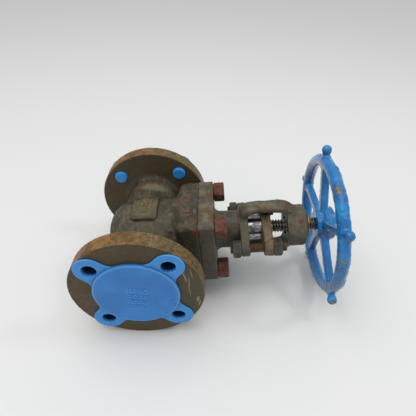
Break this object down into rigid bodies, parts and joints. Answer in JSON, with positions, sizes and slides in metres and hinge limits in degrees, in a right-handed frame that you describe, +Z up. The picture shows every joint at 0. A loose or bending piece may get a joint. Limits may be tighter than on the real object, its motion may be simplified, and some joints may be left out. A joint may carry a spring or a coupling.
{
  "type": "flanged globe valve",
  "caption": "Flanged globe valve lying on its side: bolted bonnet, outside screw and yoke, spoked handwheel with ball knobs, and plastic caps on both flanges.",
  "frame": {"origin": "centre of the inlet flange's bolt circle, in the plane of the flange plate's outer face", "axes": "+Y along the run from inlet to outlet, +X along the stem towards the handwheel, +Z up as the valve lies on its side"},
  "size_m": [0.2755, 0.1702, 0.1635],
  "materials": {
    "forged_steel": "brown-grey forged steel with light rust",
    "rusted_bolt": "red-brown rusted steel",
    "rusty_stud": "brown rusted steel thread",
    "dark_nut": "dark grey steel, rust at the edges",
    "gland_plate": "tan-brown rusted steel",
    "polished_steel": "polished stainless steel",
    "stem_steel": "dark greased stainless thread",
    "brass": "machined brass",
    "graphite": "pressed graphite",
    "gasket": "spiral wound strip",
    "wheel_paint": "glossy blue enamel, chipped",
    "cap_plastic": "soft blue polyethylene"
  },
  "bodies": {
    "casing": {"body": "forged_steel", "seat_ring": "polished_steel", "bonnet_gasket": "gasket", "bonnet": "forged_steel", "bonnet_bolts": "rusted_bolt", "back_seat_bush": "polished_steel", "packing_washer": "polished_steel", "packing_rings": "graphite", "gland_follower": "polished_steel", "gland_flange": "gland_plate", "gland_studs": "rusty_stud", "gland_back_nuts": "dark_nut", "gland_nuts": "dark_nut", "yoke_bush": "brass"},
    "disc_unit": {"disc": "polished_steel", "thrust_pad": "stem_steel", "disc_nut": "stem_steel"},
    "stem_unit": {"stem": "stem_steel", "handwheel": "wheel_paint", "wheel_washer": "wheel_paint", "wheel_nut": "wheel_paint"},
    "inlet_cap_unit": {"inlet_cap": "cap_plastic"},
    "outlet_cap_unit": {"outlet_cap": "cap_plastic"}
  },
  "joints": [
    {"name": "stem_lift", "type": "slide", "parent": "casing", "child": "disc_unit", "axis": [1, 0, 0], "range_m": [0, 0.012]},
    {"name": "handwheel_turn", "type": "hinge", "parent": "disc_unit", "child": "stem_unit", "pos_m": [0, 0.0809, 0], "axis": [1, 0, 0], "range_deg": [0, 1440]},
    {"name": "inlet_cap_pull", "type": "slide", "parent": "casing", "child": "inlet_cap_unit", "axis": [0, -1, 0], "range_m": [0, 0.06]},
    {"name": "outlet_cap_pull", "type": "slide", "parent": "casing", "child": "outlet_cap_unit", "axis": [0, 1, 0], "range_m": [0, 0.06]}
  ],
  "couplings": [
    {"joint": "stem_lift", "follows": "handwheel_turn", "m_per_rad": 0.00047746}
  ]
}
